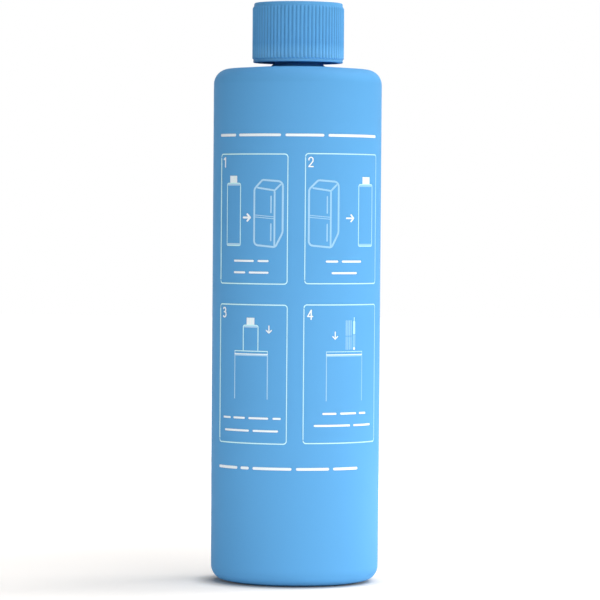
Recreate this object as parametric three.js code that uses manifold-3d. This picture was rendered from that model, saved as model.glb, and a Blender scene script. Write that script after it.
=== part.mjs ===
// Coolant bottle of an insulin cooling case.
// A blow-moulded bottle holds a freezable gel, a push-in stopper seals its narrow neck,
// and a ribbed cap screws on over it with a threaded sleeve and a foam liner inside.
// Millimetres, +Z up, origin at the centre of the base.
import * as THREE from 'three';
import { mergeVertices } from 'three/addons/utils/BufferGeometryUtils.js';
import Module from 'manifold-3d';

// Clearances
const fitClearance = 0.3;
const threadClearance = 0.4;

// Bottle body
const bodyRadius = 25;
const bodyHeight = 153.2;
const bodyWall = 1.4;
const baseFillet = 3.4;
const standingRingWidth = 4;
const pushUpHeight = 2;
const shoulderFillet = 5.8;
const shoulderRise = 0.5;
const headspace = 13;

// Neck and its thread
const neckRadius = 7;
const neckWall = 1.8;
const neckFlare = 0.9;
const neckLip = 3.3;
const lipChamfer = 0.4;
const threadPitch = 3;
const threadDepth = 1.2;
const threadCrestWidth = 0.6;
const threadFlank = THREE.MathUtils.degToRad(15);
const threadSink = 0.3;
const neckThreadTurns = 1.5;
const capThreadTurns = 1.25;
const threadLead = 0.3;

// Stopper
const plugFlangeThickness = 1;
const plugWall = 1;
const plugStemLength = 7;

// Cap
const capGap = 1.6;
const capWall = 1.4;
const capTopWall = 1.6;
const capFillet = 1.2;
const capHollow = 1.95;
const linerThickness = 1.5;
const sleeveWall = 1.3;
const sleevePlate = 1.2;
const sleeveFlange = 1.2;
const sleeveRecess = 0.6;

// Grip ribs
const ribCount = 72;
const ribHeight = 0.4;
const ribSink = 0.15;
const plainBandBelow = 0.95;
const plainBandAbove = 1.35;

// Fineness of the round surfaces
const bodySides = 64;
const sleeveSides = 48;
const ribSides = 8;
const arcSteps = 3;
const threadStepsPerTurn = 24;
const threadRunOutSteps = 3;
const sharpestFillet = 0.2;
const weldDistance = 1e-4;

// Radii, from the bore of the neck out to the ribs
const boreRadius = neckRadius - neckWall;
const threadCrestRadius = neckRadius + threadDepth;
const sleeveBore = threadCrestRadius + threadClearance;
const sleeveRadius = sleeveBore + sleeveWall;
const capInside = sleeveRadius + capHollow;
const capRadius = capInside + capWall;

// Heights, from the shoulder up to the top of the cap
const capFoot = bodyHeight + capGap;
const sleeveFoot = capFoot + sleeveRecess;
const capThreadRoot = sleeveBore + threadSink;
const capThreadFoot = sleeveFoot + threadLead + capThreadHalfWidth(capThreadRoot);
const neckThreadFoot = capThreadFoot + threadPitch / 2;
const neckRim = neckThreadFoot + neckThreadTurns * threadPitch + neckLip;
const plugFoot = neckRim + fitClearance;
const plugTop = plugFoot + plugFlangeThickness;
const linerFoot = plugTop + fitClearance;
const linerTop = linerFoot + linerThickness;
const plateFoot = linerTop + fitClearance;
const sleeveTop = plateFoot + sleevePlate;
const capCeiling = sleeveTop + fitClearance;
const capTop = capCeiling + capTopWall;

// Half the axial width of the neck's ridge at a radius.
function neckThreadHalfWidth(radius) {
  return threadCrestWidth / 2 + (threadCrestRadius - radius) * Math.tan(threadFlank);
}

// Half the axial width of the cap's ridge at a radius: what the neck's ridge leaves free.
function capThreadHalfWidth(radius) {
  return threadPitch / 2 - neckThreadHalfWidth(radius) - threadClearance;
}

const wasm = await Module();
wasm.setup();

// A closed geometry as a solid that can be joined to others or cut by them.
function toSolid(geometry) {
  const bare = geometry.clone();
  bare.deleteAttribute('normal');
  bare.deleteAttribute('uv');
  const merged = mergeVertices(bare, weldDistance);
  const corners = merged.index.array;
  const kept = [];
  for (let i = 0; i < corners.length; i += 3) {
    const [a, b, c] = corners.slice(i, i + 3);
    if (a !== b && b !== c && c !== a) {
      kept.push(a, b, c);
    }
  }
  const vertProperties = new Float32Array(merged.attributes.position.array);
  const triVerts = new Uint32Array(kept);
  return new wasm.Manifold(new wasm.Mesh({ numProp: 3, vertProperties, triVerts }));
}

// A solid as a geometry that a mesh can show.
function toGeometry(solid) {
  const { vertProperties, triVerts } = solid.getMesh();
  const geometry = new THREE.BufferGeometry();
  geometry.setAttribute('position', new THREE.BufferAttribute(vertProperties, 3));
  geometry.setIndex(new THREE.BufferAttribute(triVerts, 1));
  geometry.computeVertexNormals();
  return geometry;
}

// A half section, drawn as radius and height, turned round the bottle's axis.
function turned(profile, sides) {
  const geometry = new THREE.LatheGeometry(profile, sides);
  geometry.rotateX(Math.PI / 2);
  return toSolid(geometry);
}

// A half section from pairs of radius and height.
function section(...pairs) {
  return pairs.map(([radius, height]) => new THREE.Vector2(radius, height));
}

// A plain disc or cylinder between two heights.
function drum(radius, low, high, sides) {
  return turned(section([0, low], [radius, low], [radius, high], [0, high]), sides);
}

// A helical ridge of trapezoid section that runs out towards its wall at both ends.
function helicalRidge({ root, crest, halfWidth, turns, foot }) {
  const steps = Math.round(turns * threadStepsPerTurn);
  const positions = [];
  const faces = [];
  for (let step = 0; step <= steps; step++) {
    const turn = (turns * step) / steps;
    const angle = turn * 2 * Math.PI;
    const middle = foot + turn * threadPitch;
    const runOut = Math.min(1, (Math.min(step, steps - step) + 1) / threadRunOutSteps);
    const tip = root + (crest - root) * runOut;
    const outline = [
      [root, -halfWidth(root)],
      [tip, -halfWidth(tip)],
      [tip, halfWidth(tip)],
      [root, halfWidth(root)],
    ];
    for (const [radius, offset] of outline) {
      positions.push(radius * Math.cos(angle), radius * Math.sin(angle), middle + offset);
    }
  }
  const addFace = (a, b, c) => faces.push(...(crest > root ? [a, b, c] : [a, c, b]));
  for (let step = 0; step < steps; step++) {
    for (let side = 0; side < 4; side++) {
      const here = step * 4 + side;
      const next = step * 4 + ((side + 1) % 4);
      addFace(here, here + 4, next);
      addFace(next, here + 4, next + 4);
    }
  }
  const last = steps * 4;
  addFace(0, 1, 2);
  addFace(0, 2, 3);
  addFace(last, last + 2, last + 1);
  addFace(last, last + 3, last + 2);
  const geometry = new THREE.BufferGeometry();
  geometry.setAttribute('position', new THREE.Float32BufferAttribute(positions, 3));
  geometry.setIndex(faces);
  return toSolid(geometry);
}

// The half outline of the body, moved inwards by an inset: pushed-up base, foot, wall and shoulder.
function bodyProfile(inset) {
  const radius = bodyRadius - inset;
  const footRound = Math.max(baseFillet - inset, sharpestFillet);
  const shoulderRound = Math.max(shoulderFillet - inset, sharpestFillet);
  const ringInside = bodyRadius - baseFillet - standingRingWidth + inset * Math.tan(Math.PI / 8);
  const wallTop = bodyHeight - shoulderRise - inset - shoulderRound;
  const path = new THREE.Path();
  path.moveTo(0, pushUpHeight + inset);
  path.lineTo(ringInside - pushUpHeight, pushUpHeight + inset);
  path.lineTo(ringInside, inset);
  path.absarc(radius - footRound, inset + footRound, footRound, -Math.PI / 2, 0);
  path.absarc(radius - shoulderRound, wallTop, shoulderRound, 0, Math.PI / 2);
  path.lineTo(neckRadius, bodyHeight - inset);
  path.lineTo(0, bodyHeight - inset);
  return path.getPoints(arcSteps);
}

// The bottle: body and threaded neck, hollowed out through the bore of the neck.
function bottleShell() {
  const neckRoot = bodyHeight - bodyWall / 2;
  const neck = turned(
    section(
      [0, neckRoot],
      [neckRadius + neckFlare, neckRoot],
      [neckRadius + neckFlare, bodyHeight],
      [neckRadius, bodyHeight + neckFlare],
      [neckRadius, neckRim - lipChamfer],
      [neckRadius - lipChamfer, neckRim],
      [0, neckRim],
    ),
    bodySides,
  );
  const thread = helicalRidge({
    root: neckRadius - threadSink,
    crest: threadCrestRadius,
    halfWidth: neckThreadHalfWidth,
    turns: neckThreadTurns,
    foot: neckThreadFoot,
  });
  const cavity = turned(bodyProfile(bodyWall), bodySides);
  const bore = drum(boreRadius, bodyHeight - 2 * bodyWall, neckRim + bodyWall, bodySides);
  return turned(bodyProfile(0), bodySides).add(neck).add(thread).subtract(cavity).subtract(bore);
}

// The gel fills the body up to the head space that it needs when it freezes.
function coolantGel() {
  const room = turned(bodyProfile(bodyWall + fitClearance), bodySides);
  const air = drum(bodyRadius, bodyHeight - headspace, bodyHeight, bodySides);
  return room.subtract(air);
}

// The stopper: a hollow stem in the bore, with a flange over the rim of the neck.
function neckPlug() {
  const stemRadius = boreRadius - fitClearance;
  const stemFoot = neckRim - plugStemLength;
  return turned(
    section(
      [0, stemFoot],
      [stemRadius, stemFoot],
      [stemRadius, plugFoot],
      [neckRadius, plugFoot],
      [neckRadius, plugTop],
      [stemRadius - plugWall, plugTop],
      [stemRadius - plugWall, stemFoot + plugWall],
      [0, stemFoot + plugWall],
    ),
    sleeveSides,
  );
}

// One grip rib: a fine round bar with pointed ends, lying in the wall of the cap.
function gripRib() {
  const round = ribHeight + ribSink;
  const foot = capFoot + plainBandBelow;
  const head = capTop - plainBandAbove;
  const profile = section([0, foot], [round, foot + round], [round, head - round], [0, head]);
  const geometry = new THREE.LatheGeometry(profile, ribSides);
  geometry.rotateX(Math.PI / 2);
  geometry.translate(0, ribSink - capRadius, 0);
  return geometry;
}

// The outer cap: a cup, open below, with a rounded top edge and ribs all round.
function capOuterShell() {
  const path = new THREE.Path();
  path.moveTo(0, capCeiling);
  path.lineTo(capInside, capCeiling);
  path.lineTo(capInside, capFoot);
  path.lineTo(capRadius, capFoot);
  path.absarc(capRadius - capFillet, capTop - capFillet, capFillet, 0, Math.PI / 2);
  path.lineTo(0, capTop);
  let cap = turned(path.getPoints(arcSteps), ribCount);
  const rib = gripRib();
  for (let i = 0; i < ribCount; i++) {
    const angle = ((i + 0.5) * 2 * Math.PI) / ribCount;
    cap = cap.add(toSolid(rib.clone().rotateZ(angle)));
  }
  return cap;
}

// The sleeve in the cap: closed above, threaded inside, with a flange that closes the underside.
function capThreadedInsert() {
  const flangeRadius = capInside - fitClearance;
  const sleeve = turned(
    section(
      [0, plateFoot],
      [sleeveBore, plateFoot],
      [sleeveBore, sleeveFoot],
      [flangeRadius, sleeveFoot],
      [flangeRadius, sleeveFoot + sleeveFlange],
      [sleeveRadius, sleeveFoot + sleeveFlange],
      [sleeveRadius, sleeveTop],
      [0, sleeveTop],
    ),
    sleeveSides,
  );
  const thread = helicalRidge({
    root: capThreadRoot,
    crest: neckRadius + threadClearance,
    halfWidth: capThreadHalfWidth,
    turns: capThreadTurns,
    foot: capThreadFoot,
  });
  return sleeve.add(thread);
}

// The liner: a foam disc between the stopper and the sleeve's top.
function capLiner() {
  return drum(sleeveBore - fitClearance, linerFoot, linerTop, sleeveSides);
}

// A named piece with its finish.
function piece(name, solid, color, roughness) {
  const material = new THREE.MeshStandardMaterial({ color, roughness, metalness: 0 });
  const mesh = new THREE.Mesh(toGeometry(solid), material);
  mesh.name = name;
  return mesh;
}

const bottle = new THREE.Group();
bottle.add(piece('bottle_shell', bottleShell(), '#62a9e1', 0.55));
bottle.add(piece('coolant_gel', coolantGel(), '#bfe3f2', 0.25));
bottle.add(piece('neck_plug', neckPlug(), '#eef1f0', 0.4));

const cap = new THREE.Group();
cap.add(piece('cap_outer_shell', capOuterShell(), '#62a9e1', 0.5));
cap.add(piece('cap_threaded_insert', capThreadedInsert(), '#5b9fd8', 0.5));
cap.add(piece('cap_liner', capLiner(), '#f3f2ee', 0.8));

const coolantBottle = new THREE.Group();
coolantBottle.add(bottle, cap);

export default coolantBottle;
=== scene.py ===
# %% [markdown]
# # A coolant bottle with a ribbed screw cap
# The bottle is blown from blue HDPE, holds a gel that is frozen, and keeps insulin pens cold in a travel
# case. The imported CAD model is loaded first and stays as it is: it gives the places, the sizes and the
# moving bodies. Each step below makes the finer surface of one piece, in the same frame, and hides the
# plain solid behind it.

# %% Load the frame
import math

import bmesh
import bpy
from mathutils import Matrix, Vector


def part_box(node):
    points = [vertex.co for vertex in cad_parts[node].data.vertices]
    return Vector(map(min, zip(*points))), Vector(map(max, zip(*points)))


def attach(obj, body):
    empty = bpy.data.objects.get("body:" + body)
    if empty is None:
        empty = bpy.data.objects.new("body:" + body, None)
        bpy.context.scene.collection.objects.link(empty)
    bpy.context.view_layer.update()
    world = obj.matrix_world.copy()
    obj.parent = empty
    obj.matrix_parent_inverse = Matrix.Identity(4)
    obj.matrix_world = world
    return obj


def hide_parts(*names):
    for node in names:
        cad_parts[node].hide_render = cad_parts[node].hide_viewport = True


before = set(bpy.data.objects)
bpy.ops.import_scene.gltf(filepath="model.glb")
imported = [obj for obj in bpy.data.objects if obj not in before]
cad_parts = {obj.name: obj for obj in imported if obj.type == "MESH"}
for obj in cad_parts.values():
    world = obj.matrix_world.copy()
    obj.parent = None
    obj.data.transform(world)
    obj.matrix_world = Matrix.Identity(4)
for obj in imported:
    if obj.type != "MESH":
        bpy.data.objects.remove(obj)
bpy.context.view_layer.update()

MM = 0.001

# %% [markdown]
# ## Camera
# Product photos are taken with a long lens from far away, so that a straight bottle keeps straight sides.
# A little of the shoulder's curve shows how high the camera stands: about two thirds up the bottle. The
# camera is placed by its real distance and lens rather than by eye, so the outline falls where it should.

# %% Set up the camera
def new_object(name, data):
    """An object that holds this data, in the scene."""
    made = bpy.data.objects.new(name, data)
    bpy.context.scene.collection.objects.link(made)
    return made


camera_place = Vector((1.12, -1131.9, 108.5)) * MM
camera_drop = math.radians(1.2457)
camera_roll = math.radians(0.435)
camera_data = bpy.data.cameras.new("camera")
camera_data.lens = 227.47
camera_data.sensor_width = 36
camera = new_object("camera", camera_data)
camera.matrix_world = (
    Matrix.Translation(camera_place)
    @ Matrix.Rotation(math.pi / 2 - camera_drop, 4, "X")
    @ Matrix.Rotation(camera_roll, 4, "Z")
)
bpy.context.scene.camera = camera
bpy.context.scene.view_settings.view_transform = "Standard"
print("camera stands", round(camera_place.length, 3), "m from the middle of the base")

# %% [markdown]
# ## Helpers for colours and nodes
# A paint chart gives colours as sRGB hex values, but shaders want linear light, so one function turns them.
# Node trees read best as a list of nodes with what feeds them, so one function adds a node and joins it up.
# Every material starts and ends alike, and mixes its colours by a pattern or along an axis, by helpers too.

# %% Colours and nodes
MATH = "ShaderNodeMath"
# The colour sockets of a Mix node go by number, because their names repeat.
MIX_FACTOR, MIX_FIRST, MIX_SECOND, MIX_RESULT = 0, 6, 7, 2
BOTTLE_BLUE = "#62A9E1"


def linear(hex_colour):
    """An sRGB hex colour as linear red, green, blue and alpha, by the curve of the sRGB standard."""
    shown = [int(hex_colour[start : start + 2], 16) / 255 for start in (1, 3, 5)]
    light = [level / 12.92 if level <= 0.04045 else ((level + 0.055) / 1.055) ** 2.4 for level in shown]
    return (*light, 1.0)


def add_node(tree, kind, feeds=None, **options):
    """Adds a node with its options, and feeds its sockets with values, outputs or other nodes.

    A node that is given as a feed stands for its first output."""
    node = tree.nodes.new(kind)
    for option, value in options.items():
        setattr(node, option, value)
    for socket, value in (feeds or {}).items():
        if isinstance(value, bpy.types.Node):
            value = value.outputs[0]
        if isinstance(value, bpy.types.NodeSocket):
            tree.links.new(value, node.inputs[socket])
        else:
            node.inputs[socket].default_value = value
    return node


print("bottle blue in linear light:", [round(level, 3) for level in linear(BOTTLE_BLUE)])

# %% Start and end of a material
def new_material(name):
    """A material, its empty tree, and the Object coordinates that its patterns read."""
    material = bpy.data.materials.new(name)
    material.use_nodes = True
    tree = material.node_tree
    tree.nodes.clear()
    return material, tree, add_node(tree, "ShaderNodeTexCoord").outputs["Object"]


def two_tone(tree, place, kind, size, first, second, **settings):
    """A pattern of a real size in millimetres, and the colour that goes from first to second with it."""
    pattern = add_node(tree, kind, {"Vector": place, "Scale": 1 / (size * MM), **settings})
    colours = {MIX_FACTOR: pattern, MIX_FIRST: linear(first), MIX_SECOND: linear(second)}
    return pattern, add_node(tree, "ShaderNodeMix", colours, data_type="RGBA").outputs[MIX_RESULT]


def fade(tree, place, axis, start, end, tint, last):
    """The tint, turned to the last colour between two places along an axis, in millimetres."""
    along = add_node(tree, "ShaderNodeSeparateXYZ", {"Vector": place}).outputs[axis]
    stretch = {"Value": along, "From Min": start * MM, "From Max": end * MM}
    share = add_node(tree, "ShaderNodeMapRange", stretch)
    colours = {MIX_FACTOR: share, MIX_FIRST: tint, MIX_SECOND: linear(last)}
    return add_node(tree, "ShaderNodeMix", colours, data_type="RGBA").outputs[MIX_RESULT]


def end_material(tree, tint, values, pattern=None, depth=None, matt=None):
    """Ends a material in one skin, with relief of a depth and a range of roughness from its pattern."""
    values = {"Base Color": tint, **values}
    if depth:
        values["Normal"] = add_node(tree, "ShaderNodeBump", {"Height": pattern, "Distance": depth * MM})
    if matt:
        gloss = {"Value": pattern, "To Min": matt[0], "To Max": matt[1]}
        values["Roughness"] = add_node(tree, "ShaderNodeMapRange", gloss)
    skin = add_node(tree, "ShaderNodeBsdfPrincipled", values)
    add_node(tree, "ShaderNodeOutputMaterial", {"Surface": skin})


print("colours are mixed through sockets", MIX_FACTOR, MIX_FIRST, "and", MIX_SECOND)

# %% [markdown]
# ## Plastics
# All the hard pieces took their skin from a mould: blown HDPE for the bottle, injected PP for the cap. A
# mould is sparked to a fine grain, which makes the plastic matt and soft to the eye: broad, weak highlights,
# and a colour that drifts a little where the wall cooled slower. Some bands are painted paler, as painted
# light, and creases get a painted shade. One function builds such a skin from real sizes, because only
# colour, grain and gloss differ between the pieces.

# %% Moulded plastic
PLASTIC_IOR = 1.5
LIGHT_REACH = 2
CREASE_SAMPLES = 8


def moulded_plastic(
    name, colour, drift, patch, grain, depth, matt, shine=0.5, soft=0.0, crease_shade=0.0, pale=None, thin=()
):
    """A plastic whose colour drifts over patches, with a moulded grain. Lengths are in millimetres.

    The colour is painted paler, as painted light, between the two heights of each given pair, and creases get
    a painted shade."""
    material, tree, place = new_material(name)
    tint = two_tone(tree, place, "ShaderNodeTexNoise", patch, colour, drift, Detail=3)[1]
    # Painted light: over each pair of heights the colour goes paler.
    for plain_height, lit_height in thin:
        tint = fade(tree, place, "Z", plain_height, lit_height, tint, pale)
    # Painted shade: the Ambient Occlusion node darkens the colour in creases and narrow gaps.
    if crease_shade:
        shade = {"Color": tint, "Distance": crease_shade * MM}
        tint = add_node(tree, "ShaderNodeAmbientOcclusion", shade, samples=CREASE_SAMPLES)
    # The real grain is too fine to show from here, so it's drawn a few times as coarse.
    sparks = add_node(tree, "ShaderNodeTexNoise", {"Vector": place, "Scale": 1 / (grain * MM), "Detail": 4})
    values = {
        "IOR": PLASTIC_IOR,
        "Specular IOR Level": shine,
        "Subsurface Weight": soft,
        "Subsurface Scale": LIGHT_REACH * MM,
    }
    end_material(tree, tint, values, sparks, depth, matt)
    return material


print("moulded plastics have an IOR of", PLASTIC_IOR)

# %% Plastics of the bottle and the cap
COOLED_BLUE = "#5FA6DE"
SHOULDER_LIGHT_FADE = (148.5, 151.0)
FOOT_LIGHT_FADE = (3.4, 0.8)
LIP_HEIGHT = 0.7
LIP_LIGHT_FADE = 4.6


def cad_box(node):
    """The lowest and highest corners of a CAD node at rest, in millimetres."""
    return [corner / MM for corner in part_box(node)]


# Blown HDPE: a waxy blue with a soft matt skin that spreads every highlight. The shoulder and the foot are
# painted a shade paler: painted light on their rounded corners.
blown_hdpe = moulded_plastic(
    "blown_hdpe_sky_blue", BOTTLE_BLUE, COOLED_BLUE, pale="#66B0EA", thin=[SHOULDER_LIGHT_FADE, FOOT_LIGHT_FADE],
    patch=30, grain=0.5, depth=0.004, matt=(0.5, 0.6), shine=0.05, crease_shade=0.6,
)
# Injected PP: the same blue, a little crisper, because an injected skin copies its mould more closely. The
# lower part of the cap is painted paler towards the lip: painted light against the shade of the shoulder
# below, and a painted highlight on the lip.
cap_low, cap_high = cad_box("cap_outer_shell")
lip_top = cap_low.z + LIP_HEIGHT
injected_pp = moulded_plastic(
    "injected_pp_sky_blue", BOTTLE_BLUE, COOLED_BLUE, pale="#7EC6F5", thin=[(lip_top + LIP_LIGHT_FADE, lip_top)],
    patch=12, grain=0.35, depth=0.003, matt=(0.45, 0.55), shine=0.06, crease_shade=0.5,
)
print("outer plastics:", blown_hdpe.name, injected_pp.name)

# %% Plastics of the sleeve and the stopper
# The sleeve is a separate shot of PP, one shade deeper, with the polish of a core pin inside.
sleeve_pp = moulded_plastic(
    "injected_pp_deep_blue", "#5B9FD8", "#5699D2",
    patch=8, grain=0.3, depth=0.002, matt=(0.35, 0.45), shine=0.15,
)
# Natural LDPE without dye: milky, because light wanders in it before it comes out.
natural_ldpe = moulded_plastic(
    "natural_ldpe_milky", "#ECEFEE", "#E3E8E7",
    patch=5, grain=0.3, depth=0.002, matt=(0.3, 0.4), soft=0.3,
)
print("inner plastics:", sleeve_pp.name, natural_ldpe.name)

# %% [markdown]
# ## Gel, foam and ink
# The gel is a clear blue jelly with small bubbles, wet and glossy. The liner is closed-cell PE foam, which
# shows its cut cells as tiny pits. The print is a film of white screen ink, thinner here and there where the
# mesh let less through. Each has one pattern of its own: bubbles, cells, or ink density.

# %% Gel
BUBBLE_SIZE = 2.5
GEL_REACH = 6
gel_finish, gel_tree, gel_place = new_material("freezable_gel_pale_blue")
gel_tint = two_tone(gel_tree, gel_place, "ShaderNodeTexVoronoi", BUBBLE_SIZE, "#DDF1F8", "#B4DDEF")[1]
# Gel is mostly water: a low IOR, a wet gloss, and light that wanders deep into it.
gel_values = {"Roughness": 0.12, "IOR": 1.34, "Subsurface Weight": 0.6, "Subsurface Scale": GEL_REACH * MM}
end_material(gel_tree, gel_tint, gel_values)
print("gel with bubbles of", BUBBLE_SIZE, "mm")

# %% Foam
CELL_SIZE = 0.5
CELL_DEPTH = 0.08
foam_finish, foam_tree, foam_place = new_material("closed_cell_pe_foam_white")
cells, foam_tint = two_tone(foam_tree, foam_place, "ShaderNodeTexVoronoi", CELL_SIZE, "#DCDAD3", "#F7F6F2")
# Foam is dry and dull: the cut cells scatter the light, and their middles are painted a shade darker: painted
# shade in the pits.
end_material(foam_tree, foam_tint, {"Roughness": 0.85}, cells, CELL_DEPTH)
print("foam with cells of", CELL_SIZE, "mm")

# %% Screen ink
# A real mesh is finer, but then its marks wouldn't show.
MESH_SPACING = 0.25
STROKE_HALF = 20
INK_MATT = (0.4, 0.55)
INK_SHINE = 0.3


def screen_ink(name, sparse, dense, last):
    """A white ink, sparse to dense with what the mesh let through, and last where the squeegee stopped."""
    material, tree, place = new_material(name)
    density, tint = two_tone(tree, place, "ShaderNodeTexNoise", MESH_SPACING, sparse, dense, Detail=2)
    tint = fade(tree, place, "X", -STROKE_HALF, STROKE_HALF, tint, last)
    end_material(tree, tint, {"Specular IOR Level": INK_SHINE}, density, matt=INK_MATT)
    return material


# Full ink covers the blue nearly whole. In fine lines less of it comes through, and thin ink shows much of
# the blue. The squeegee ran from left to right and left less ink towards its end.
full_ink = screen_ink("screen_ink_white", "#E3F2FC", "#FCFEFF", "#F0F8FE")
line_ink = screen_ink("screen_ink_lines", "#C5F3FC", "#D5FFFF", "#B6E7FD")
thin_ink = screen_ink("screen_ink_thin", "#A7D4F3", "#B9E0F9", "#8FC6ED")
print("inks through a mesh of", MESH_SPACING, "mm")

# %% [markdown]
# ## Turned shapes with soft corners
# Nearly every piece is round, so its shape is one half outline turned about the bottle's axis. A moulded edge
# is never sharp. The outline is written as corners with a rounding each, and a function draws the arcs. Long
# straight runs get one more point near each end, because smooth shading would otherwise bend their light.

# %% Outlines
ARC_STEPS = 8
HOLD = 0.3


def soft_corners(corners, closed=False, steps=ARC_STEPS):
    """The points of an outline from corners of (across, up, rounding)."""
    points = []
    for index, (across, up, rounding) in enumerate(corners):
        here = Vector((across, up))
        loose_end = not closed and index in (0, len(corners) - 1)
        if loose_end or not rounding:
            points.append(here)
            continue
        back = (Vector(corners[index - 1][:2]) - here).normalized()
        ahead = (Vector(corners[(index + 1) % len(corners)][:2]) - here).normalized()
        opening = back.angle(ahead)
        sweep = math.pi - opening
        cut = rounding / math.tan(opening / 2)
        centre = here + (back + ahead).normalized() * rounding / math.sin(opening / 2)
        first = here + back * cut - centre
        last = here + ahead * cut - centre
        for step in range(steps + 1):
            share = step / steps
            spoke = first * math.sin((1 - share) * sweep) + last * math.sin(share * sweep)
            points.append(centre + spoke / math.sin(sweep))
    return points


def held(points):
    """The same open outline with a point near each end of its straight runs."""
    kept = [points[0]]
    for start, end in zip(points, points[1:]):
        run = end - start
        if run.length > 4 * HOLD:
            kept.append(start + run.normalized() * HOLD)
            kept.append(end - run.normalized() * HOLD)
        kept.append(end)
    return kept


print("arcs have", ARC_STEPS, "steps, and straight runs a point", HOLD, "mm from their ends")

# %% Turned meshes
TURN_SIDES = 192
# A ring of a smaller radius is one point on the axis.
POLE = 1e-6


def plain_mesh(name, maker):
    """The finished bmesh as a plain mesh."""
    mesh = bpy.data.meshes.new(name)
    maker.to_mesh(mesh)
    maker.free()
    return mesh


def join_rows(maker, rows, closed=True):
    """Joins each row of points to the next by faces, all round where the rows are closed."""
    for upper, lower in zip(rows, rows[1:]):
        longest = max(len(upper), len(lower))
        for column in range(longest if closed else longest - 1):
            around = [(upper, column), (lower, column), (lower, column + 1), (upper, column + 1)]
            corners = [row[number % len(row)] for row, number in around]
            maker.faces.new(dict.fromkeys(corners))


def turned(name, outline):
    """A closed mesh from a half outline in millimetres that starts and ends on the axis."""
    maker = bmesh.new()
    rings = []
    for radius, height in outline:
        sides = TURN_SIDES if radius > POLE else 1
        turns = [2 * math.pi * side / sides for side in range(sides)]
        ring = [(radius * math.cos(turn), radius * math.sin(turn), height) for turn in turns]
        rings.append([maker.verts.new(Vector(corner) * MM) for corner in ring])
    join_rows(maker, rings)
    bmesh.ops.recalc_face_normals(maker, faces=maker.faces)
    return plain_mesh(name, maker)


print("turned pieces have", TURN_SIDES, "sides")

# %% Placing pieces
SHARP = math.radians(32)


def place_piece(name, mesh, material, body, slot, *nodes):
    """Puts a finished mesh on its body, with its finish, in the place of the CAD nodes it stands for."""
    mesh.shade_smooth()
    mesh.set_sharp_from_angle(angle=SHARP)
    mesh.materials.clear()
    mesh.materials.append(material)
    piece = new_object(name, mesh)
    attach(piece, body)
    if nodes:
        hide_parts(*nodes)
    print(name, "has", len(mesh.vertices), "points and", len(mesh.polygons), "faces")


def turned_piece(name, corners, *finish):
    """Turns a piece from the corners of its half outline and puts it in its place."""
    place_piece(name, turned(name, held(soft_corners(corners))), *finish)


print("edges over", round(math.degrees(SHARP)), "degrees stay sharp")

# %% [markdown]
# ## Bottle
# A tube of molten HDPE was blown against a mould, so the corners are round inside and out. The base is pushed
# up and leaves a ring to stand on, whose small step draws the fine dark line under the foot. The wall is
# straight, and the shoulder turns in over a wide arc to a narrow neck. A bevelled cylinder could do, but in a
# turned outline each corner has its own rounding. It goes up the outside, over the rim and down the inside.
# The halves of the mould leave a fine parting line up both sides.

# %% Sizes of the bottle
bottle_high = cad_box("bottle_shell")[1]
wall_radius = bottle_high.x
rim_height = bottle_high.z
wall = 1.4
foot_round = 4.2
foot_taper = 0.15
taper_height = 33.0
ring_radius = 19.3
ring_width = 3.4
ring_step = 0.42
ring_round = 0.1
push_up = 2.0
push_round = 1.0
shoulder_round = 4.6
shoulder_edge = 152.36
shoulder_top = 153.45
neck_radius = 7.0
neck_flare = 1.15
neck_bore = 5.2
root_round = 0.15
flare_round = 0.3
rim_round = 0.4
inside_round = 0.8
ring_inside = ring_radius - ring_width
# The push-up rises at 45 degrees, so its inner corner is shifted by this share of the wall.
bank_shift = math.tan(math.pi / 8)
inner_ring = ring_inside + wall * bank_shift
print("bottle of", round(2 * wall_radius, 2), "by", round(rim_height, 2), "mm")

# %% Bottle body
outside = [
    (0, push_up, 0),
    (ring_inside - push_up, push_up, push_round),
    (ring_inside, 0, push_round),
    (ring_radius, 0, ring_round),
    (ring_radius, ring_step, ring_round),
    (wall_radius - foot_taper, ring_step, foot_round),
    (wall_radius, taper_height, 0),
    (wall_radius, shoulder_edge, shoulder_round),
    (neck_radius + neck_flare, shoulder_top, root_round),
    (neck_radius, shoulder_top + neck_flare, flare_round),
    (neck_radius, rim_height, rim_round),
]
inside = [
    (neck_bore, rim_height, rim_round),
    (neck_bore, shoulder_top - wall, inside_round),
    (wall_radius - wall, shoulder_edge - wall, shoulder_round - wall),
    (wall_radius - wall, wall, foot_round - wall),
    (inner_ring, wall, inside_round),
    (inner_ring - push_up, push_up + wall, inside_round),
    (0, push_up + wall, 0),
]
turned_piece("bottle_body", outside + inside, blown_hdpe, "bottle", "bottle_plastic", "bottle_shell")

# %% Parting line
parting_foot = 21.5
parting_head = 9.0
half, sunk = 0.2, 0.06
crest, proud = 0.06, 0.04
parting_section = [(-half, -sunk), (-crest, proud), (crest, proud), (half, -sunk)]
parting_path = [
    point
    for point in held(soft_corners(outside))
    if point.x > (parting_head if point.y > taper_height else parting_foot)
]
parting_maker = bmesh.new()
for hand in (-1, 1):
    loops = []
    for index, point in enumerate(parting_path):
        before = parting_path[max(index - 1, 0)]
        after = parting_path[min(index + 1, len(parting_path) - 1)]
        along = (after - before).normalized()
        loop = []
        for aside, out in parting_section:
            radius = point.x + along.y * out
            height = point.y - along.x * out
            loop.append(parting_maker.verts.new(Vector((hand * radius, aside, height)) * MM))
        loops.append(loop)
    join_rows(parting_maker, loops)
    parting_maker.faces.new(loops[0])
    parting_maker.faces.new(loops[-1])
bmesh.ops.recalc_face_normals(parting_maker, faces=parting_maker.faces)
parting_mesh = plain_mesh("parting_line", parting_maker)
place_piece("parting_line", parting_mesh, blown_hdpe, "bottle", "bottle_plastic")

# %% [markdown]
# ## Threads
# The screw is a ridge of trapezoid section that climbs the neck for a turn and a half and sinks into the wall
# at both ends. The sleeve in the cap carries its partner. Both are one section swept along a spiral, so one
# Geometry Nodes tree makes them, with the ridge's sizes as inputs. All trees start and end alike, by helpers.

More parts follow.
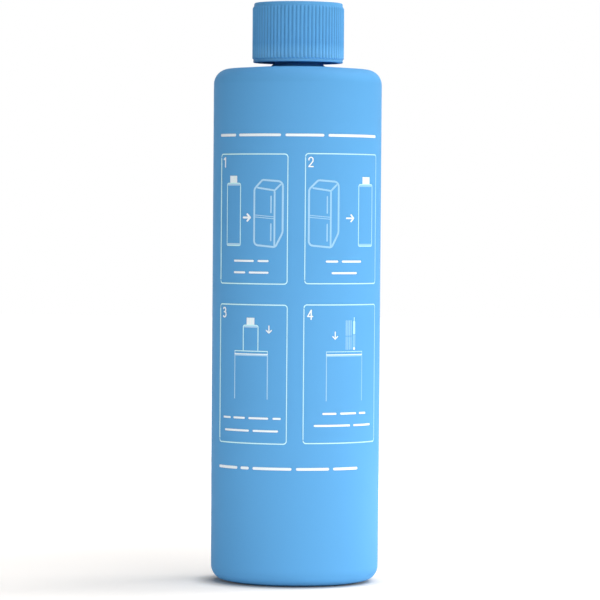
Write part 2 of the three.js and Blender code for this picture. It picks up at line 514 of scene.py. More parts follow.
# %% Helpers for trees
def new_tree(name, sizes):
    """A Geometry Nodes tree with a Geometry input, the named sizes and a Material input, and its inputs."""
    tree = bpy.data.node_groups.new(name, "GeometryNodeTree")
    tree.interface.new_socket("Geometry", in_out="OUTPUT", socket_type="NodeSocketGeometry")
    for label, kind in {"Geometry": "Geometry", **sizes, "Material": "Material"}.items():
        tree.interface.new_socket(label, in_out="INPUT", socket_type="NodeSocket" + kind)
    return tree, tree.nodes.new("NodeGroupInput").outputs


def end_tree(tree, shape, material):
    """Ends a tree in Realize Instances and Set Material, because the export drops instances."""
    real = add_node(tree, "GeometryNodeRealizeInstances", {"Geometry": shape})
    coat = add_node(tree, "GeometryNodeSetMaterial", {"Geometry": real, "Material": material})
    add_node(tree, "NodeGroupOutput", {"Geometry": coat})
    print("tree of", tree.name, "has", len(tree.nodes), "nodes")


def made_by(tree, source_mesh, values):
    """The plain mesh that a tree makes from a source mesh with these input values."""
    source = new_object("source", source_mesh)
    modifier = source.modifiers.new("tree", "NODES")
    modifier.node_group = tree
    for item in tree.interface.items_tree:
        if item.in_out == "INPUT" and item.name in values:
            modifier[item.identifier] = values[item.name]
    shown = source.evaluated_get(bpy.context.evaluated_depsgraph_get())
    mesh = bpy.data.meshes.new_from_object(shown)
    bpy.data.objects.remove(source)
    return mesh


print("trees take a mesh, sizes and a material")

# %% Tree for a helical ridge
RIDGE_STEPS = 96
RIDGE_ROUND = 0.15
ROUND_STEPS = 3
END_SCALE = 0.05
ridge_radii = ["Root Radius", "Crest Radius", "Root Half", "Crest Half"]
ridge_path = ["Turns", "Pitch", "Foot", "Run-out"]
ridge, given = new_tree("helical ridge", dict.fromkeys(ridge_radii + ridge_path, "Float"))
climb = add_node(ridge, MATH, {0: given["Turns"], 1: given["Pitch"]}, operation="MULTIPLY")
spiral_values = {
    "Resolution": RIDGE_STEPS,
    "Rotations": given["Turns"],
    "Start Radius": given["Root Radius"],
    "End Radius": given["Root Radius"],
    "Height": climb,
}
spiral = add_node(ridge, "GeometryNodeCurveSpiral", spiral_values)
lift = add_node(ridge, "ShaderNodeCombineXYZ", {"Z": given["Foot"]})
raised = add_node(ridge, "GeometryNodeSetPosition", {"Geometry": spiral, "Offset": lift})
upright = add_node(ridge, "GeometryNodeSetCurveNormal", {"Curve": raised}, mode="Z_UP")
radii = {0: given["Crest Radius"], 1: given["Root Radius"]}
reach = add_node(ridge, MATH, radii, operation="SUBTRACT")
root_low = add_node(ridge, MATH, {0: given["Root Half"], 1: -1.0}, operation="MULTIPLY")
crest_low = add_node(ridge, MATH, {0: given["Crest Half"], 1: -1.0}, operation="MULTIPLY")
section_corners = [
    {"Y": root_low},
    {"X": reach, "Y": crest_low},
    {"X": reach, "Y": given["Crest Half"]},
    {"Y": given["Root Half"]},
]
section_points = {
    f"Point {number}": add_node(ridge, "ShaderNodeCombineXYZ", corner)
    for number, corner in enumerate(section_corners, 1)
}
section = add_node(ridge, "GeometryNodeCurvePrimitiveQuadrilateral", section_points, mode="POINTS")
rounding = {"Curve": section, "Count": ROUND_STEPS, "Radius": RIDGE_ROUND * MM, "Limit Radius": True}
rounded = add_node(ridge, "GeometryNodeFilletCurve", rounding, mode="POLY")
from_start = add_node(ridge, "GeometryNodeSplineParameter")
from_end = add_node(ridge, MATH, {0: 1.0, 1: from_start}, operation="SUBTRACT")
nearest_end = add_node(ridge, MATH, {0: from_start, 1: from_end}, operation="MINIMUM")
rising = {"Value": nearest_end, "From Max": given["Run-out"], "To Min": END_SCALE}
rise = add_node(ridge, "ShaderNodeMapRange", rising, interpolation_type="SMOOTHSTEP")
sweep = {"Curve": upright, "Profile Curve": rounded, "Scale": rise, "Fill Caps": True}
end_tree(ridge, add_node(ridge, "GeometryNodeCurveToMesh", sweep), given["Material"])

# %% Neck thread
thread_pitch = 3.0
thread_depth = 1.2
thread_sink = 0.3
thread_run_out = 0.08
thread_crest_half = 0.3
thread_flank = math.tan(math.radians(15))
neck_thread_foot = 158.188


def thread_mesh(root, crest, root_half, crest_half, turns, foot, material):
    """A thread from its radii, its half widths and the height of its foot in millimetres."""
    values = {
        "Root Radius": root * MM,
        "Crest Radius": crest * MM,
        "Root Half": root_half * MM,
        "Crest Half": crest_half * MM,
        "Turns": turns,
        "Pitch": thread_pitch * MM,
        "Foot": foot * MM,
        "Run-out": thread_run_out,
        "Material": material,
    }
    return made_by(ridge, bpy.data.meshes.new("seed"), values)


neck_thread = thread_mesh(
    root=neck_radius - thread_sink,
    crest=neck_radius + thread_depth,
    root_half=thread_crest_half + (thread_depth + thread_sink) * thread_flank,
    crest_half=thread_crest_half,
    turns=1.5,
    foot=neck_thread_foot,
    material=blown_hdpe,
)
place_piece("neck_thread", neck_thread, blown_hdpe, "bottle", "bottle_plastic")
thread_heights = [corner.co.z / MM for corner in neck_thread.vertices]
print("thread from", round(min(thread_heights), 2), "to", round(max(thread_heights), 2), "mm")

# %% [markdown]
# ## Cap
# The cap is an injected cup with fine upright ribs that a wet hand can turn. A rib rises from a plain band at
# the foot and runs out under the rounded crown. The top has a shallow recess, and in its middle the mark of
# the gate where the plastic came in. One slice of the cap is modelled, and a Geometry Nodes tree repeats it
# round the axis with the number of ribs as an input, so every rib is alike.

# %% Sizes of the cap
foot_drop = 0.25
top_drop = 0.15
cap_plate = 1.6
cap_foot = cap_low.z - foot_drop
cap_top = cap_high.z - top_drop
cap_ceiling = cap_high.z - cap_plate
cap_radius = 13.37
cap_wall = 1.4
band_height = 0.9
band_lean = 0.06
band_step = 0.1
crown_radius = 13.2
crown_edge = 0.85
recess_radius, recess_bank, recess_depth = 9.6, 0.6, 0.2
gate_rim, gate_floor, gate_depth = 2.0, 1.7, 0.45
pip_radius, pip_bank, pip_depth = 0.5, 0.1, 0.3
print("cap of", 2 * cap_radius, "by", round(cap_top - cap_foot, 2), "mm")

# %% Ribs of the cap
rib_count = 72
rib_height = 0.28
rib_low = cap_foot + band_height
rib_high = cap_top - crown_edge
rib_run_out = 0.9
rib_run_in = 0.4
rib_columns = 12
slice_angle = 2 * math.pi / rib_count
# Each column of the slice: how far across it is, as an angle, and how high the rib is there.
rib_shares = [column / rib_columns - 0.5 for column in range(rib_columns + 1)]
rib_section = [(share * slice_angle, rib_height * abs(math.cos(math.pi * share))) for share in rib_shares]


def ease(share):
    """A share from 0 to 1 that starts and ends gently."""
    share = min(max(share, 0.0), 1.0)
    return share * share * (3 - 2 * share)


def rib_share(radius, height):
    """How much of the rib's height stands out of the cap at this point of its outline."""
    if radius < crown_radius - POLE:
        return 0.0
    return ease((height - rib_low) / rib_run_in) * ease((rib_high - height) / rib_run_out)


print("ribs are", round(slice_angle * cap_radius, 2), "mm apart")

# %% One slice of the cap
RUN_STEPS = 5
shares = [step / RUN_STEPS for step in range(RUN_STEPS + 1)]
crown_flare = cap_radius - crown_radius
crown = [
    (0, cap_top - pip_depth, 0),
    (pip_radius, cap_top - pip_depth, 0.1),
    (pip_radius + pip_bank, cap_top - gate_depth, 0.05),
    (gate_floor, cap_top - gate_depth, 0.15),
    (gate_rim, cap_top - recess_depth, 0.15),
    (recess_radius, cap_top - recess_depth, 0.3),
    (recess_radius + recess_bank, cap_top, 0.3),
    (crown_radius, cap_top, 0.5),
]
ribbed_run = [(crown_radius + share * crown_flare, rib_high - share * rib_run_out, 0) for share in shares]
ribbed_run += [(cap_radius, rib_low + share * rib_run_in, 0) for share in reversed(shares)]
skirt = [
    (cap_radius - band_lean, rib_low - band_step, 0),
    (cap_radius + band_lean, cap_foot, 0.25),
    (cap_radius - cap_wall, cap_foot, 0.25),
    (cap_radius - cap_wall, cap_ceiling, 0.6),
    (0, cap_ceiling, 0),
]
slice_maker = bmesh.new()
slice_rows = []
for radius, height in held(soft_corners(crown + ribbed_run + skirt)):
    share = rib_share(radius, height)
    row = []
    for across, out in rib_section:
        turn = across - math.pi / 2
        reach_out = radius + out * share
        corner = Vector((reach_out * math.cos(turn), reach_out * math.sin(turn), height))
        row.append(slice_maker.verts.new(corner * MM))
    slice_rows.append(row)
join_rows(slice_maker, slice_rows, closed=False)
bmesh.ops.remove_doubles(slice_maker, verts=slice_maker.verts, dist=POLE * MM)
slice_mesh = plain_mesh("cap_slice", slice_maker)
print("one slice has", len(slice_rows), "rows and", len(slice_mesh.polygons), "faces")

# %% Repeat the slice round the axis
WELD = 0.002
# The first rib stands this share of a rib's spacing round from the front.
rib_turn = 0.91
ring, given = new_tree("ring of slices", {"Count": "Int", "Weld": "Float"})
number = add_node(ring, "GeometryNodeInputIndex")
place_in_ring = add_node(ring, MATH, {0: number, 1: rib_turn}, operation="ADD")
part_turn = add_node(ring, MATH, {0: 2 * math.pi, 1: given["Count"]}, operation="DIVIDE")
angle = add_node(ring, MATH, {0: place_in_ring, 1: part_turn}, operation="MULTIPLY")
turn_about = add_node(ring, "FunctionNodeAxisAngleToRotation", {"Axis": (0, 0, 1), "Angle": angle})
seats = add_node(ring, "GeometryNodePoints", {"Count": given["Count"]})
spread = {"Points": seats, "Instance": given["Geometry"], "Rotation": turn_about}
copies = add_node(ring, "GeometryNodeInstanceOnPoints", spread)
apart = add_node(ring, "GeometryNodeRealizeInstances", {"Geometry": copies})
welded = add_node(ring, "GeometryNodeMergeByDistance", {"Geometry": apart, "Distance": given["Weld"]})
end_tree(ring, welded, given["Material"])
cap_values = {"Count": rib_count, "Weld": WELD * MM, "Material": injected_pp}
cap_mesh = made_by(ring, slice_mesh, cap_values)
place_piece("ribbed_cap", cap_mesh, injected_pp, "cap", "cap_plastic", "cap_outer_shell")

# %% [markdown]
# ## Inside the cap and the neck
# A threaded sleeve is pressed into the cap, a foam disc lies in its top, and a hollow stopper closes the
# neck. They show only when the cap is unscrewed or seen from below, but each is turned from its own outline.
# The gel leaves a head space in the bottle, because it swells when it freezes.

# %% Sleeve
sleeve_low, sleeve_high = cad_box("cap_threaded_insert")
sleeve_bore = 8.6
sleeve_radius = 9.9
sleeve_flange = 1.2
sleeve_plate = 1.2
press_gap = 0.3
flange_radius = cap_radius - cap_wall - press_gap
sleeve_corners = [
    (0, sleeve_high.z - sleeve_plate, 0),
    (sleeve_bore, sleeve_high.z - sleeve_plate, 0.3),
    (sleeve_bore, sleeve_low.z, 0.3),
    (flange_radius, sleeve_low.z, 0.2),
    (flange_radius, sleeve_low.z + sleeve_flange, 0.2),
    (sleeve_radius, sleeve_low.z + sleeve_flange, 0.3),
    (sleeve_radius, sleeve_high.z, 0.3),
    (0, sleeve_high.z, 0),
]
turned_piece("threaded_sleeve", sleeve_corners, sleeve_pp, "cap", "sleeve_plastic", "cap_threaded_insert")

# %% Thread of the sleeve
thread_gap = 0.4
sleeve_root = sleeve_bore + thread_sink
sleeve_crest = neck_radius + thread_gap


def sleeve_half_width(radius):
    """Half the width that the neck's ridge leaves free for the sleeve's at a radius."""
    neck_half = thread_crest_half + (neck_radius + thread_depth - radius) * thread_flank
    return thread_pitch / 2 - neck_half - thread_gap


sleeve_thread = thread_mesh(
    root=sleeve_root,
    crest=sleeve_crest,
    root_half=sleeve_half_width(sleeve_root),
    crest_half=sleeve_half_width(sleeve_crest),
    turns=1.25,
    foot=neck_thread_foot - thread_pitch / 2,
    material=sleeve_pp,
)
place_piece("sleeve_thread", sleeve_thread, sleeve_pp, "cap", "sleeve_plastic")

# %% Liner and stopper
liner_low, liner_high = cad_box("cap_liner")
liner_corners = [
    (0, liner_low.z, 0),
    (liner_high.x, liner_low.z, 0.25),
    (liner_high.x, liner_high.z, 0.25),
    (0, liner_high.z, 0),
]
turned_piece("foam_liner", liner_corners, foam_finish, "liner", "liner_foam", "cap_liner")
plug_low, plug_high = cad_box("neck_plug")
stem_gap = 0.3
stem_radius = neck_bore - stem_gap
plug_wall = 1.0
plug_flange = 1.0
plug_corners = [
    (0, plug_low.z, 0),
    (stem_radius, plug_low.z, 0.6),
    (stem_radius, plug_high.z - plug_flange, 0.15),
    (neck_radius, plug_high.z - plug_flange, 0.25),
    (neck_radius, plug_high.z, 0.25),
    (stem_radius - plug_wall, plug_high.z, 0.3),
    (stem_radius - plug_wall, plug_low.z + plug_wall, 0.5),
    (0, plug_low.z + plug_wall, 0),
]
turned_piece("neck_stopper", plug_corners, natural_ldpe, "bottle", "stopper_plastic", "neck_plug")

# %% Gel fill
gel_low, gel_high = cad_box("coolant_gel")
gel_inset = wall_radius - gel_high.x
gel_ring = ring_inside + gel_inset * bank_shift
# The gel creeps up the wall a little, so its surface is a shallow dish.
creep_height = 0.8
creep_width = 2
gel_corners = [
    (0, push_up + gel_inset, 0),
    (gel_ring - push_up, push_up + gel_inset, inside_round),
    (gel_ring, gel_low.z, inside_round),
    (gel_high.x, gel_low.z, foot_round - gel_inset),
    (gel_high.x, gel_high.z, 0.5),
    (gel_high.x - creep_width, gel_high.z - creep_height, 1.5),
    (0, gel_high.z - creep_height, 0),
]
turned_piece("freezable_gel", gel_corners, gel_finish, "bottle", "gel", "coolant_gel")

# %% [markdown]
# ## Print
# Four numbered pictures are screen-printed on the front: freeze the bottle, let it stand, put it into the
# cooler, add the pens. A texture could show them, but a thin film of real ink keeps crisp edges in any view.
# They are drawn flat, in millimetres across and up, as strokes with a width. One tree gives the strokes their
# body, and a second one wraps the drawing round the wall.

# %% Pen for the flat drawing
LINE = 0.28
FINE = 0.25
END_STEPS = 4
END_LEAN = math.radians(86)
CORNER_STEPS = 5
LONGEST_STEP = 0.8
FULL, LINES, THIN = "full", "lines", "thin"
strokes = {FULL: [], LINES: [], THIN: []}


def draw(points, width=LINE, closed=False, ink=LINES, level_width=None):
    """Adds one stroke with round ends, through points of millimetres across and up.

    Where it runs level it can have a width of its own."""
    wider = (level_width or width) - width
    path = [Vector(point) for point in points]
    if closed:
        path.append(path[0])
    knots = [(path[0], width)]
    for start, end in zip(path, path[1:]):
        pieces = math.ceil((end - start).length / LONGEST_STEP)
        here = width + wider * abs((end - start).normalized().x)
        knots += [(start.lerp(end, piece / pieces), here) for piece in range(1, pieces + 1)]
    if closed:
        knots.pop()
    else:
        first_way = (path[0] - path[1]).normalized()
        last_way = (path[-1] - path[-2]).normalized()
        for step in range(1, END_STEPS + 1):
            lean = END_LEAN * step / END_STEPS
            reach_out, narrow = math.sin(lean) * width / 2, math.cos(lean) * width
            knots.insert(0, (path[0] + first_way * reach_out, narrow))
            knots.append((path[-1] + last_way * reach_out, narrow))
    strokes[ink].append((knots, closed))


def draw_soft(corners, width=LINE, closed=True, ink=LINES, level_width=None):
    """Adds a stroke through corners of (across, up, rounding)."""
    draw(soft_corners(corners, closed, CORNER_STEPS), width, closed, ink, level_width)


def draw_block(left, right, low, high, ink=FULL):
    """A filled block, as one wide stroke with square ends."""
    middle = (low + high) / 2
    steps = math.ceil((right - left) / LONGEST_STEP)
    ways = [left + (right - left) * step / steps for step in range(steps + 1)]
    strokes[ink].append(([(Vector((across, middle)), high - low) for across in ways], False))


print("pen of", LINE, "mm, and", FINE, "mm for the finest lines")

# %% Pictures of the bottle
CAP_HEIGHT = 2.05
CAP_INSET = 0.24
CAP_BARS = 5
BAR_GAP = 0.14
BAND = 0.7
FOOT_BEND, SHOULDER_BEND = 0.45, 0.6


def draw_bottle(left, right, foot, top, floor_line=True):
    """A bottle with a filled cap and a band at its shoulder, and at its foot where that shows."""
    cap_left = left + CAP_INSET * (right - left)
    cap_right = right - CAP_INSET * (right - left)
    cap_line = top - CAP_HEIGHT
    body_top = cap_line - LINE / 2
    draw_block(cap_left, cap_right, cap_line, top, ink=LINES)
    bar_step = (cap_right - cap_left + BAR_GAP) / CAP_BARS
    for bar in range(CAP_BARS):
        bar_left = cap_left + bar * bar_step
        draw_block(bar_left, bar_left + bar_step - BAR_GAP, cap_line, top)
    sides = [
        (left, foot, FOOT_BEND),
        (left, body_top, SHOULDER_BEND),
        (right, body_top, SHOULDER_BEND),
        (right, foot, FOOT_BEND),
    ]
    draw_soft(sides, closed=floor_line)
    bands = [body_top - BAND, foot] if floor_line else [body_top - BAND]
    for low in bands:
        draw_block(left + LINE, right - LINE, low, low + BAND, ink=THIN)


print("cap bars are", BAR_GAP, "mm apart")

# %% Pictures of a refrigerator
FRIDGE_LINE = 0.58
DOOR_LINE = 0.55
HANDLE = 0.42


def draw_fridge(left, foot, width, height):
    """A two-door refrigerator seen from its front right, with handles on both doors."""

    def at(across, up, *rounding):
        """A place in shares of the width and height."""
        return (left + across * width, foot + up * height, *rounding)

    outer = [
        at(0, 0.04, 1.3),
        at(0, 0.85, 1.5),
        at(0.29, 0.983, 1.1),
        at(0.98, 0.96, 1.5),
        at(0.98, 0.22, 3.0),
        at(0.74, 0.01, 0.9),
    ]
    draw_soft(outer, FRIDGE_LINE, ink=THIN)
    edge = 0.71
    draw([at(0.13, 0.868), at(edge, 0.83), at(0.9, 0.915)], DOOR_LINE, ink=THIN)
    draw([at(edge, 0.81), at(edge, 0.03)], DOOR_LINE, ink=THIN)
    for up in (0.435, 0.463):
        draw([at(0.03, up + 0.01), at(edge - 0.03, up - 0.015)], FINE, ink=THIN)
    for low, high in ((0.51, 0.745), (0.105, 0.345)):
        draw([at(0.59, low), at(0.59, high)], HANDLE, ink=THIN)


print("a refrigerator has a line of", FRIDGE_LINE, "mm")

# %% Arrow, cooler and pen
BOLD = 0.6
COOLER_EDGE = 0.85
BAND_TOP, BAND_FOOT = 0.8, 1.4
PEN_JOINT = 0.48
PEN_SIDE = 0.36
PEN_LINE, OPEN_LINE = 0.3, 0.35


def draw_arrow(tail, tip, head, width=BOLD):
    """An arrow with an open head."""
    tail, tip = Vector(tail), Vector(tip)
    way = (tip - tail).normalized()
    side = Vector((-way.y, way.x))
    draw([tail, tip - way * width / 2], width, ink=FULL)
    for hand in (-1, 1):
        draw([tip - way * head + side * head * hand, tip], width, ink=FULL)


def draw_cooler(left, right, rim, foot, width=LINE):
    """An open cooler: a rim line, a band under it, and two walls that go down to the foot."""
    draw([(left, rim), (right, rim)], width)
    draw([(left, rim - COOLER_EDGE), (right, rim - COOLER_EDGE)], width, ink=FULL)
    draw_block(left, right, rim - BAND_FOOT, rim - BAND_TOP, ink=THIN)
    for wall_line in (left, right):
        draw([(wall_line, rim), (wall_line, foot)], ink=THIN)


def draw_pen(middle, foot, height, width, filled):
    """A slim pen, its upper half filled and pointed or left open, its lower half open."""
    top = foot + height
    joint = foot + PEN_JOINT * height
    for side_line in (middle - PEN_SIDE * width, middle + PEN_SIDE * width):
        draw([(side_line, foot + FINE), (side_line, joint - FINE)], PEN_LINE, ink=THIN)
        if not filled:
            draw([(side_line, joint + FINE), (side_line, top)], OPEN_LINE, ink=THIN)
    if filled:
        # The barrel, its point and the knob at its foot, in shares of the pen's width.
        draw([(middle, joint + 0.5 * width), (middle, top - 1.6 * width)], width)
        draw([(middle, top - 2 * width), (middle, top)], 0.4 * width)
        draw([(middle, foot + 0.5 * width), (middle, foot + 0.6 * width)], 0.9 * width, ink=FULL)


print("arrows have a line of", BOLD, "mm")

# %% Frame and rules
LEVEL_LINE = 0.36
BEND = 0.9
RULE, WIDE_RULE = 0.6, 0.8
RULE_GAP = 1.3


def draw_frame(left, right, low, high, left_width=LINE):
    """A frame with rounded corners and wider level lines. Its left side is a stroke of its own."""
    corners = [
        (left, low + BEND, 0),
        (left, low, BEND),
        (right, low, BEND),
        (right, high, BEND),
        (left, high, BEND),
        (left, high - BEND, 0),
    ]
    draw_soft(corners, closed=False, level_width=LEVEL_LINE)
    side_end = BEND + LINE / 2 + left_width / 2
    draw([(left, low + side_end), (left, high - side_end)], left_width)


def draw_rules(middle, up, lengths, width=RULE):
    """A row of short plain rules, centred."""
    start = middle - (sum(lengths) + RULE_GAP * (len(lengths) - 1)) / 2
    for length in lengths:
        draw([(start + width / 2, up), (start + length - width / 2, up)], width, ink=FULL)
        start += length + RULE_GAP


print("frames have corners of", BEND, "mm, and rules are", RULE_GAP, "mm apart")

# %% Numbers
FIGURE_WIDE = 0.7
FIGURE_TALL = 0.85
figures = {
    1: [[(0.1, 2.55, 0), (1.2, 3.1, 0)], [(1.2, 3.1, 0), (1.2, 0, 0)]],
    2: [
        [(0.1, 2.3, 0), (0.1, 3.15, 0.8), (1.85, 3.15, 0.8), (1.85, 1.85, 0.7), (0.05, 0, 0)],
        [(0.05, 0, 0), (1.95, 0, 0)],
    ],
    3: [
        [(0.05, 2.85, 0), (0.3, 3.15, 0.3), (1.75, 3.15, 0.7), (1.75, 1.75, 0.7), (0.6, 1.75, 0)],
        [(0.6, 1.75, 0), (1.95, 1.75, 0.85), (1.95, 0, 0.85), (0.3, 0, 0.3), (0, 0.25, 0)],
    ],
    4: [[(1.5, 0, 0), (1.5, 3.15, 0)], [(1.45, 3.1, 0), (0, 0.95, 0)], [(0, 0.95, 0), (2.1, 0.95, 0)]],
}


def draw_figure(figure, left, foot, width):
    """One number, with its lower left corner here."""
    for path in figures[figure]:
        corners = [
            (left + across * FIGURE_WIDE, foot + up * FIGURE_TALL, rounding * FIGURE_WIDE)
            for across, up, rounding in path
        ]
        draw_soft(corners, width, closed=False, ink=FULL)


print("figures:", sorted(figures))

# %% Lay the pictures out
draw_frame(-27.3, -2.5, 89.0, 127.0, left_width=0.55)
draw_frame(2.65, 30.0, 89.2, 127.2)
draw_frame(-27.3, -2.4, 42.2, 82.85, left_width=0.55)
draw_frame(2.5, 30.0, 42.45, 83.0)

draw_figure(1, -25.8, 123.3, 0.52)
draw_bottle(-23.8, -17.9, 100.15, 120.65)
draw_arrow((-16.6, 108.4), (-14.3, 108.4), 0.95)
draw_fridge(-12.85, 99.6, 9.1, 20.2)
draw_figure(2, 3.55, 123.4, 0.36)
draw_fridge(3.75, 99.6, 9.4, 20.2)
draw_arrow((15.8, 108.4), (18.4, 108.4), 0.95, 0.45)
draw_bottle(20.5, 27.35, 100.2, 120.55)

cooler_rim = 69.25
draw_figure(3, -25.5, 79.1, 0.48)
draw_cooler(-19.75, -8.25, cooler_rim, 55.3)
draw_bottle(-16.45, -11.3, cooler_rim + LINE, 79.05, floor_line=False)
draw_arrow((-7.85, 76.7), (-7.85, 74.65), 0.75, 0.36)
draw_figure(4, 3.6, 78.8, 0.36)
draw_cooler(9.4, 22.45, cooler_rim, 54.9, 0.2)
draw_arrow((12.15, 75.1), (12.15, 72.95), 0.8, 0.28)
draw_pen(16.27, 69.7, 8.6, 0.85, filled=False)
draw_pen(17.5, 69.7, 8.6, 0.85, filled=False)
draw_pen(19.0, 69.7, 9.5, 0.8, filled=True)

draw_rules(0.8, 132.6, [8, 14, 11.5, 20], WIDE_RULE)
draw_rules(-14.25, 95.7, [7.5, 3.5])
draw_rules(-14.25, 92.3, [4.5, 6.5])
draw_rules(15.35, 95.7, [4, 7.5])
draw_rules(15.35, 92.3, [9])
draw_rules(-14.5, 49.6, [3.5, 4.5, 6.5, 2.5])
draw_rules(-14.5, 45.9, [10, 8])
draw_rules(16.3, 51.1, [4.5, 6, 3])
draw_rules(16.3, 47.6, [12, 8])
draw_rules(-3.3, 34.9, [9, 3, 12, 10, 9], WIDE_RULE)
print("strokes:", {ink: len(layer) for ink, layer in strokes.items()})

# %% Tree that gives strokes their body
# The nib is as wide as the stroke at every point, and a fifth of that high until it's wrapped.
NIB_HEIGHT = 0.2
stroke, given = new_tree("flat strokes", {"Nib Height": "Float"})
width_here = add_node(stroke, "GeometryNodeInputNamedAttribute", {"Name": "stroke_width"})
paths = add_node(stroke, "GeometryNodeMeshToCurve", {"Mesh": given["Geometry"]})
level_paths = add_node(stroke, "GeometryNodeSetCurveNormal", {"Curve": paths}, mode="Z_UP")
nib_sizes = {"Width": 1.0, "Height": given["Nib Height"]}
nib = add_node(stroke, "GeometryNodeCurvePrimitiveQuadrilateral", nib_sizes)
sweep = {"Curve": level_paths, "Profile Curve": nib, "Scale": width_here, "Fill Caps": True}
end_tree(stroke, add_node(stroke, "GeometryNodeCurveToMesh", sweep), given["Material"])

# %% Flat drawing of one ink
PRINT_SHIFT = -0.2


def drawing_of(layer):
    """The paths of one ink layer as a mesh of edges that know their stroke's width."""
    places = []
    widths = []
    links = []
    for knots, closed in layer:
        first = len(places)
        places += [((place.x + PRINT_SHIFT) * MM, place.y * MM, 0) for place, width in knots]
        widths += [width * MM for place, width in knots]
        links += [(first + step, first + step + 1) for step in range(len(knots) - 1)]
        if closed:
            links.append((first + len(knots) - 1, first))
    mesh = bpy.data.meshes.new("drawing")
    mesh.from_pydata(places, links, [])
    mesh.attributes.new("stroke_width", "FLOAT", "POINT").data.foreach_set("value", widths)
    return mesh


print("the print is moved by", PRINT_SHIFT, "mm")

# %% Tree that wraps the drawing round the wall
wrap, given = new_tree("wrap round the wall", dict.fromkeys(["Radius", "Proud", "Sunk"], "Float"))
flat_place = add_node(wrap, "GeometryNodeInputPosition")
flat = add_node(wrap, "ShaderNodeSeparateXYZ", {"Vector": flat_place}).outputs
angle = add_node(wrap, MATH, {0: flat["X"], 1: given["Radius"]}, operation="DIVIDE")
upper_side = add_node(wrap, MATH, {0: flat["Z"], 1: 0.0}, operation="GREATER_THAN")
film = add_node(wrap, MATH, {0: given["Proud"], 1: given["Sunk"]}, operation="ADD")
film_here = add_node(wrap, MATH, {0: film, 1: upper_side}, operation="MULTIPLY")
underside = add_node(wrap, MATH, {0: given["Sunk"], 1: given["Radius"]}, operation="SUBTRACT")
forwards = add_node(wrap, MATH, {0: underside, 1: film_here}, operation="SUBTRACT")
in_front = add_node(wrap, "ShaderNodeCombineXYZ", {"Y": forwards, "Z": flat["Y"]})
turning = {"Vector": in_front, "Angle": angle}
wrapped_place = add_node(wrap, "ShaderNodeVectorRotate", turning, rotation_type="Z_AXIS")
moving = {"Geometry": given["Geometry"], "Position": wrapped_place}
end_tree(wrap, add_node(wrap, "GeometryNodeSetPosition", moving), given["Material"])

# %% Print all layers
# Each ink was printed in a pass of its own, and the later ones lie a little higher.
INK_SUNK = 0.02
ink_passes = ((THIN, thin_ink, 0.02), (LINES, line_ink, 0.03), (FULL, full_ink, 0.04))
for ink, ink_finish, proud in ink_passes:
    drawing = drawing_of(strokes[ink])
    ribbons = made_by(stroke, drawing, {"Nib Height": NIB_HEIGHT, "Material": ink_finish})
    lengths = {"Radius": wall_radius * MM, "Proud": proud * MM, "Sunk": INK_SUNK * MM}
    print_film = made_by(wrap, ribbons, {**lengths, "Material": ink_finish})
    place_piece(f"print_{ink}", print_film, ink_finish, "bottle", "bottle_plastic")

# %% [markdown]
# ## Floor and light
# The picture is a studio shot on white: a pale table, a large soft light from the front right, smaller ones
# in front, above and at the right, and white cards on both sides that lift the foot of the bottle. The table
# has a glow that only the camera, mirrors and glass see, so it looks white without lighting the bottle more,
# and the soft shadow on the left stays. The glow is weaker near the bottle, which paints extra shade round
# it and a dark line close to the foot. Seen from below, the table is clear.

# %% Floor
FLOOR_DROP = 0.05 * MM
FLOOR_HALF = 3.0
floor_sides = [(-1, -1), (1, -1), (1, 1), (-1, 1)]
floor_corners = [(x * FLOOR_HALF, y * FLOOR_HALF, -FLOOR_DROP) for x, y in floor_sides]
floor_mesh = bpy.data.meshes.new("floor")
floor_mesh.from_pydata(floor_corners, [], [(0, 1, 2, 3)])
floor = new_object("floor", floor_mesh)
floor_finish, table, floor_place = new_material("matt_white_table")
floor_mesh.materials.append(floor_finish)
print("floor of", 2 * FLOOR_HALF, "m")

# %% Finish of the floor
WHITE = (1, 1, 1, 1)
# The glow grows away from the bottle and its middle sits a little to the left and front, so the table next to
# the foot is left darker: painted shade beside the real shadow.
GLOW_MIDDLE = (-1.0 * MM, -0.5 * MM, 0)
# Each ring of glow: where it starts and ends, in metres from the middle, and how much it adds.
GLOW_RINGS = ((0.0228, 0.0305, 0.39), (0.06, 0.11, 0.06), (0.11, 0.3, 0.55))


def background_ray(tree):
    """1 where the ray comes from the camera, a mirror or glass, and 0 where it only carries light."""
    ray = add_node(tree, "ShaderNodeLightPath").outputs
    seen = ray["Is Camera Ray"]
    for kind in ("Is Glossy Ray", "Is Transmission Ray"):
        seen = add_node(tree, MATH, {0: seen, 1: ray[kind]}, operation="MAXIMUM")
    return seen


from_middle = add_node(table, "ShaderNodeVectorMath", {0: floor_place, 1: GLOW_MIDDLE}, operation="DISTANCE")
glow_so_far = 0.0
for near, far, added in GLOW_RINGS:
    ring_values = {"Value": from_middle.outputs["Value"], "From Min": near, "From Max": far, "To Max": added}
    glow_ring = add_node(table, "ShaderNodeMapRange", ring_values)
    glow_so_far = add_node(table, MATH, {0: glow_ring, 1: glow_so_far}, operation="ADD")
glow_seen = {0: background_ray(table), 1: glow_so_far}
glow_level = add_node(table, MATH, glow_seen, operation="MULTIPLY")
glow = add_node(table, "ShaderNodeEmission", {"Color": WHITE, "Strength": glow_level})
matt_white = add_node(table, "ShaderNodeBsdfDiffuse", {"Color": linear("#E7E2DD")})
table_top = add_node(table, "ShaderNodeAddShader", {0: matt_white, 1: glow})
clear = add_node(table, "ShaderNodeBsdfTransparent")
from_below = add_node(table, "ShaderNodeNewGeometry").outputs["Backfacing"]
table_skin = add_node(table, "ShaderNodeMixShader", {0: from_below, 1: table_top, 2: clear})
add_node(table, "ShaderNodeOutputMaterial", {"Surface": table_skin})
print("glow of the floor in", len(GLOW_RINGS), "rings")

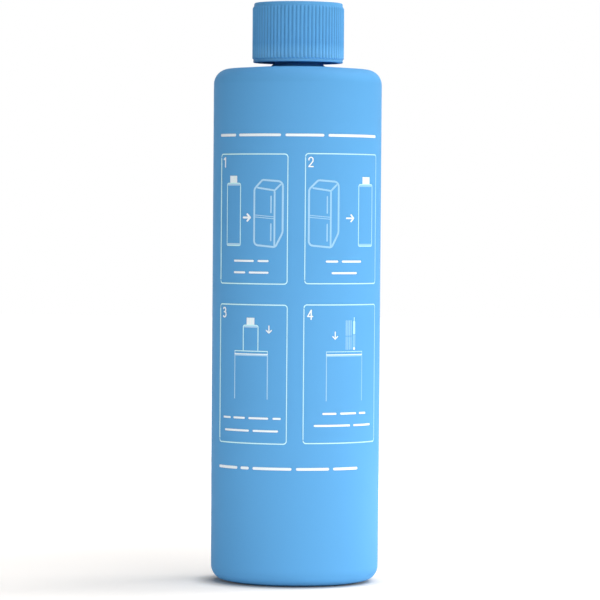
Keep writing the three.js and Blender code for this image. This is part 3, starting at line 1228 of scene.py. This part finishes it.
# %% Room
FILL_LEVEL = 0.08
world = bpy.data.worlds.new("white_studio")
world.use_nodes = True
bpy.context.scene.world = world
room = world.node_tree
room.nodes.clear()
fill = add_node(room, "ShaderNodeBackground", {"Color": WHITE, "Strength": FILL_LEVEL})
white_wall = add_node(room, "ShaderNodeBackground", {"Color": WHITE, "Strength": 1.0})
shown_room = add_node(room, "ShaderNodeMixShader", {0: background_ray(room), 1: fill, 2: white_wall})
add_node(room, "ShaderNodeOutputWorld", {"Surface": shown_room})
print("the room gives a fill of", FILL_LEVEL)

# %% Lamps
def soft_lamp(name, watts, side, rise, far, wide, tall, aim):
    """A flat soft light, aimed at a height on the bottle's axis. Lengths are in metres.

    It stands side degrees to the right of the front and rise degrees up."""
    side, rise = math.radians(side), math.radians(rise)
    way = Vector((math.sin(side) * math.cos(rise), -math.cos(side) * math.cos(rise), math.sin(rise)))
    lamp_data = bpy.data.lights.new(name, "AREA")
    lamp_data.shape = "RECTANGLE"
    lamp_data.size = wide
    lamp_data.size_y = tall
    lamp_data.energy = watts
    lamp = new_object(name, lamp_data)
    place = Vector((0, 0, aim)) + way * far
    lamp.matrix_world = Matrix.Translation(place) @ way.to_track_quat("Z", "Y").to_matrix().to_4x4()
    lamp.visible_camera = False
    print(name, "light at", [round(metres, 2) for metres in place], "m")


soft_lamp("key", 6.85, side=52, rise=32, far=1.6, wide=1.7, tall=1.7, aim=0.08)
soft_lamp("front", 3.4, side=10, rise=20, far=1.2, wide=0.8, tall=0.8, aim=0.1)
soft_lamp("top", 4.2, side=60, rise=80, far=1.1, wide=0.9, tall=0.9, aim=0.15)
soft_lamp("side", 4.05, side=115, rise=50, far=1.0, wide=0.4, tall=0.4, aim=0.15)
soft_lamp("right_card", 0.365, side=62, rise=8, far=0.26, wide=0.34, tall=0.08, aim=0.01)
soft_lamp("left_card", 0.225, side=-50, rise=8, far=0.26, wide=0.3, tall=0.08, aim=0.01)
soft_lamp("foot_card", 0.011, side=105, rise=4, far=0.08, wide=0.05, tall=0.03, aim=0.012)
